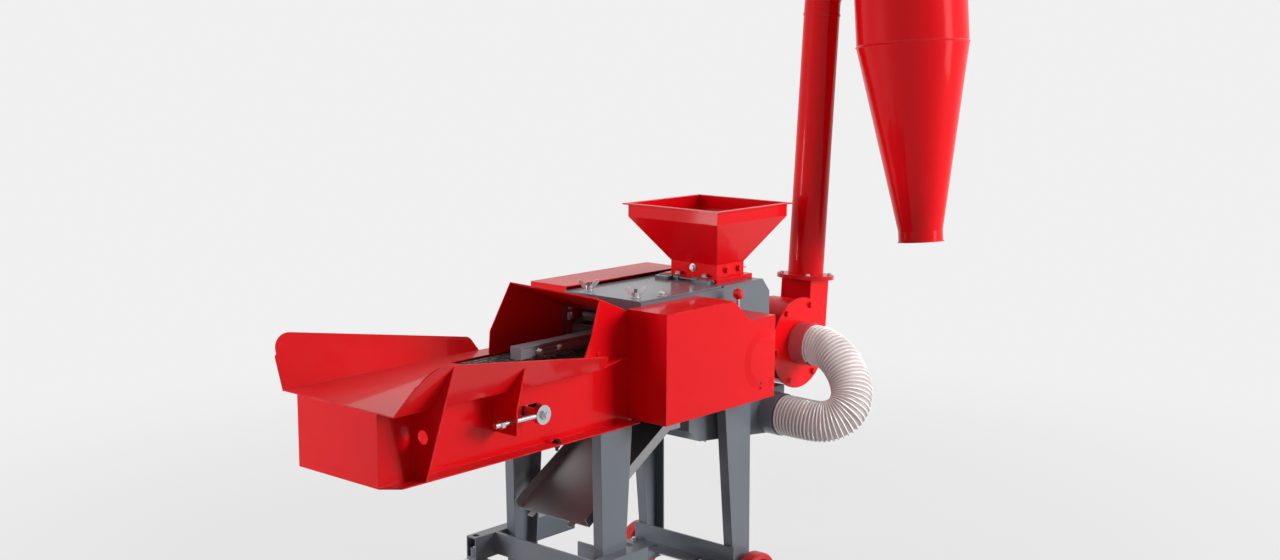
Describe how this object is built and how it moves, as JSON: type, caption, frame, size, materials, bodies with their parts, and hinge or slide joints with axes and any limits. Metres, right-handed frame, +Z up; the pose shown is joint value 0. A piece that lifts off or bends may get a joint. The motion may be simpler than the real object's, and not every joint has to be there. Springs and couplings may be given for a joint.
{
  "type": "chaff cutter",
  "caption": "Powered chaff cutter: belt-fed tray and hood, cutting chamber with grain hopper, belt guards, suction fan, ribbed hose, riser pipe and cyclone on a wheeled steel frame.",
  "frame": {"origin": "middle of the bounding box on the floor under the wheels", "axes": "+X along the feed from the tray to the fan, +Y across to the far belt guard, +Z up"},
  "size_m": [1.7305, 0.6505, 1.5739],
  "materials": {
    "red_paint": "gloss",
    "slate_paint": "satin",
    "zinc_plate": "bright zinc",
    "stainless": "brushed",
    "bright_steel": "machined",
    "pulley_iron": "machined",
    "belt_rubber": "matt",
    "hose_plastic": "translucent with white ribs",
    "knob_plastic": "gloss",
    "wheel_plastic": "satin"
  },
  "bodies": {
    "frame": {"front_leg_near": "slate_paint", "front_leg_far": "slate_paint", "rear_leg_near": "slate_paint", "rear_leg_far": "slate_paint", "base_rail_near": "slate_paint", "base_rail_far": "slate_paint", "cross_angle_front": "slate_paint", "cross_angle_rear": "slate_paint", "front_outrigger": "slate_paint", "rear_axle": "zinc_plate", "chamber_near_plate": "slate_paint", "chamber_far_plate": "slate_paint", "chamber_shell": "slate_paint", "screen": "bright_steel", "sump": "slate_paint", "feed_trough": "red_paint", "feed_tray": "red_paint", "hood": "red_paint", "discharge_chute": "stainless", "near_guard": "red_paint", "far_guard": "red_paint", "grain_hopper": "red_paint", "fan_housing": "red_paint", "fan_cover": "red_paint", "riser_pipe": "red_paint", "pipe_elbow": "red_paint", "cyclone_body": "red_paint", "cyclone_lid": "red_paint", "suction_hose": "hose_plastic", "rotor_bearings": "slate_paint", "fan_bearings": "slate_paint", "conveyor_belt": "belt_rubber", "fan_belt": "belt_rubber", "feed_chain": "bright_steel", "frame_bolts": "zinc_plate"},
    "rotor": {"rotor_shaft": "bright_steel", "rotor_discs": "bright_steel", "chopping_knives": "bright_steel", "hammers": "bright_steel", "rotor_pulley": "pulley_iron"},
    "clutch": {"clutch_sprocket": "bright_steel"},
    "fan": {"fan_shaft": "bright_steel", "impeller": "bright_steel", "fan_pulley": "pulley_iron"},
    "drive": {"drive_roller": "bright_steel"},
    "tension": {"tension_slide": "zinc_plate"},
    "tail": {"tail_roller": "bright_steel"},
    "press": {"press_frame": "slate_paint"},
    "feed_roll": {"press_roller": "bright_steel"},
    "lever": {"shift_lever": "zinc_plate", "lever_knob": "knob_plastic"},
    "cover": {"top_cover": "slate_paint", "wing_nuts": "zinc_plate"},
    "gate": {"hopper_gate": "zinc_plate"},
    "wheel_near": {"rear_wheel_near": "wheel_plastic"},
    "wheel_far": {"rear_wheel_far": "wheel_plastic"},
    "fork_near": {"caster_fork_near": "zinc_plate"},
    "fork_far": {"caster_fork_far": "zinc_plate"},
    "caster_near": {"caster_wheel_near": "wheel_plastic"},
    "caster_far": {"caster_wheel_far": "wheel_plastic"}
  },
  "joints": [
    {"name": "rotor_spin", "type": "hinge", "parent": "frame", "child": "rotor", "pos_m": [0.18176, 0.08656, 0.607], "axis": [0, 1, 0], "continuous": true},
    {"name": "fan_spin", "type": "hinge", "parent": "frame", "child": "fan", "pos_m": [0.50076, 0.08656, 0.583], "axis": [0, 1, 0], "continuous": true},
    {"name": "drive_spin", "type": "hinge", "parent": "frame", "child": "drive", "pos_m": [-0.06424, 0.08656, 0.5889], "axis": [0, 1, 0], "continuous": true},
    {"name": "clutch_spin", "type": "hinge", "parent": "frame", "child": "clutch", "pos_m": [0.18176, 0.08656, 0.607], "axis": [0, 1, 0], "continuous": true},
    {"name": "tension_travel", "type": "slide", "parent": "frame", "child": "tension", "axis": [1, 0, 0], "range_m": [0, 0.02]},
    {"name": "tail_spin", "type": "hinge", "parent": "tension", "child": "tail", "pos_m": [-0.47924, 0.08656, 0.5889], "axis": [0, 1, 0], "continuous": true},
    {"name": "press_float", "type": "hinge", "parent": "frame", "child": "press", "pos_m": [0.02076, 0.08656, 0.727], "axis": [0, 1, 0], "range_deg": [0, 12]},
    {"name": "feed_roll_spin", "type": "hinge", "parent": "press", "child": "feed_roll", "pos_m": [-0.04624, 0.08656, 0.702], "axis": [0, 1, 0], "continuous": true},
    {"name": "lever_shift", "type": "hinge", "parent": "frame", "child": "lever", "pos_m": [0.17776, -0.06844, 0.658], "axis": [1, 0, 0], "range_deg": [-15, 15]},
    {"name": "cover_hinge", "type": "hinge", "parent": "frame", "child": "cover", "pos_m": [0.17576, 0.08656, 0.7725], "axis": [0, 1, 0], "range_deg": [0, 55]},
    {"name": "gate_slide", "type": "slide", "parent": "frame", "child": "gate", "axis": [1, 0, 0], "range_m": [0, 0.088]},
    {"name": "wheel_near_spin", "type": "hinge", "parent": "frame", "child": "wheel_near", "pos_m": [0.22276, -0.09544, 0.0625], "axis": [0, 1, 0], "continuous": true},
    {"name": "wheel_far_spin", "type": "hinge", "parent": "frame", "child": "wheel_far", "pos_m": [0.22276, 0.26856, 0.0625], "axis": [0, 1, 0], "continuous": true},
    {"name": "fork_near_swivel", "type": "hinge", "parent": "frame", "child": "fork_near", "pos_m": [-0.35924, -0.07544, 0.05], "axis": [0, 0, 1], "continuous": true},
    {"name": "fork_far_swivel", "type": "hinge", "parent": "frame", "child": "fork_far", "pos_m": [-0.35924, 0.24856, 0.05], "axis": [0, 0, 1], "continuous": true},
    {"name": "caster_near_spin", "type": "hinge", "parent": "fork_near", "child": "caster_near", "pos_m": [-0.38924, -0.07544, 0.05], "axis": [0, 1, 0], "continuous": true},
    {"name": "caster_far_spin", "type": "hinge", "parent": "fork_far", "child": "caster_far", "pos_m": [-0.38924, 0.24856, 0.05], "axis": [0, 1, 0], "continuous": true}
  ],
  "couplings": [
    {"joint": "fan_spin", "follows": "rotor_spin", "ratio": 1.7222},
    {"joint": "clutch_spin", "follows": "drive_spin", "ratio": 1.7333},
    {"joint": "tail_spin", "follows": "drive_spin", "ratio": 1}
  ]
}
